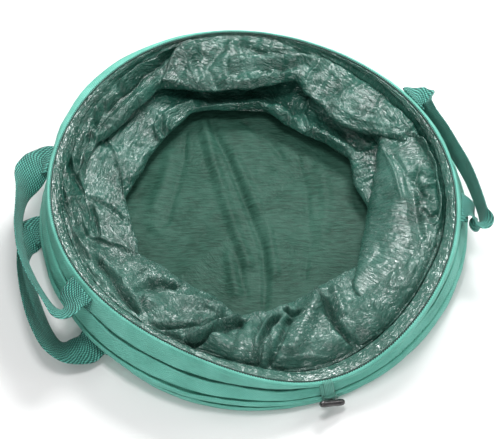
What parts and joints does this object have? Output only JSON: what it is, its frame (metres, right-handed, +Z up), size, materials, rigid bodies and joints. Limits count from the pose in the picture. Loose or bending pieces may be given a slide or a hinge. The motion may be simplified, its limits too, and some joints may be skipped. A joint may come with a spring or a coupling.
{
  "type": "pop up leaf bag",
  "caption": "Garden leaf bag folded down on its spring hoops, with a laminated lining, woven hoop sleeves, webbing carry and tipping handles and a toggle closure.",
  "frame": {"origin": "centre of the underside of the base panel, on the ground", "axes": "+Z up through the open rim, +X to the side of the single carrying handle, -Y to the side of the toggle"},
  "size_m": [0.6462, 0.6053, 0.0914],
  "materials": {
    "laminate": "glossy laminated woven sheet",
    "base_laminate": "semi-gloss laminated sheet",
    "sleeve_tape": "matte fine weave",
    "webbing": "matte coarse twill webbing",
    "spring_steel": "drawn spring wire",
    "toggle_plastic": "moulded, glossy"
  },
  "bodies": {
    "base": {"base_panel": "base_laminate", "base_hem": "sleeve_tape", "spring_turn_base": "spring_steel", "spring_end_cap_base": "toggle_plastic", "tipping_handle_tab_front": "webbing", "tipping_handle_tab_rear": "webbing", "toggle_loop": "toggle_plastic"},
    "coil_1": {"wall_panel_lower": "laminate", "coil_sleeve_1": "sleeve_tape", "spring_turn_1": "spring_steel"},
    "coil_2": {"wall_panel_middle": "laminate", "coil_sleeve_2": "sleeve_tape", "spring_turn_2": "spring_steel"},
    "rim": {"wall_panel_upper": "laminate", "rim_hem": "sleeve_tape", "lining_facing": "laminate", "spring_turn_rim": "spring_steel", "spring_end_cap_rim": "toggle_plastic", "left_handle_tab_front": "webbing", "left_handle_tab_rear": "webbing", "right_handle_tab_front": "webbing", "right_handle_tab_rear": "webbing"},
    "left_carry_handle": {"left_carry_handle": "webbing"},
    "right_carry_handle": {"right_carry_handle": "webbing"},
    "tipping_handle": {"tipping_handle": "webbing"},
    "toggle_strap": {"toggle_strap": "sleeve_tape", "toggle_collar": "sleeve_tape"},
    "toggle_bar": {"toggle_bar": "toggle_plastic"}
  },
  "joints": [
    {"name": "coil_1_slide", "type": "slide", "parent": "base", "child": "coil_1", "axis": [0, 0, 1], "range_m": [0, 0.195]},
    {"name": "coil_2_slide", "type": "slide", "parent": "coil_1", "child": "coil_2", "axis": [0, 0, 1], "range_m": [0, 0.195]},
    {"name": "rim_slide", "type": "slide", "parent": "coil_2", "child": "rim", "axis": [0, 0, 1], "range_m": [0, 0.195]},
    {"name": "left_carry_handle_swing", "type": "hinge", "parent": "rim", "child": "left_carry_handle", "pos_m": [-0.2627, -0.0663, 0.0786], "axis": [-0.2841, 0.9588, -0.0071], "range_deg": [0, 105]},
    {"name": "right_carry_handle_swing", "type": "hinge", "parent": "rim", "child": "right_carry_handle", "pos_m": [0.2669, 0.0633, 0.0695], "axis": [0.2539, -0.9672, -0.0069], "range_deg": [0, 105]},
    {"name": "tipping_handle_swing", "type": "hinge", "parent": "base", "child": "tipping_handle", "pos_m": [-0.2636, -0.1233, 0.0114], "axis": [-0.4504, 0.8928, -0.0004], "range_deg": [-70, 0]},
    {"name": "toggle_strap_swing", "type": "hinge", "parent": "rim", "child": "toggle_strap", "pos_m": [0.0936, -0.2797, 0.0374], "axis": [-0.9483, -0.3173, 0], "range_deg": [0, 110]},
    {"name": "toggle_bar_turn", "type": "hinge", "parent": "toggle_strap", "child": "toggle_bar", "pos_m": [0.0993, -0.2968, 0.0195], "axis": [0.3173, -0.9483, 0], "range_deg": [-90, 90]}
  ],
  "couplings": [
    {"joint": "coil_2_slide", "follows": "coil_1_slide", "ratio": 1},
    {"joint": "rim_slide", "follows": "coil_1_slide", "ratio": 1}
  ]
}
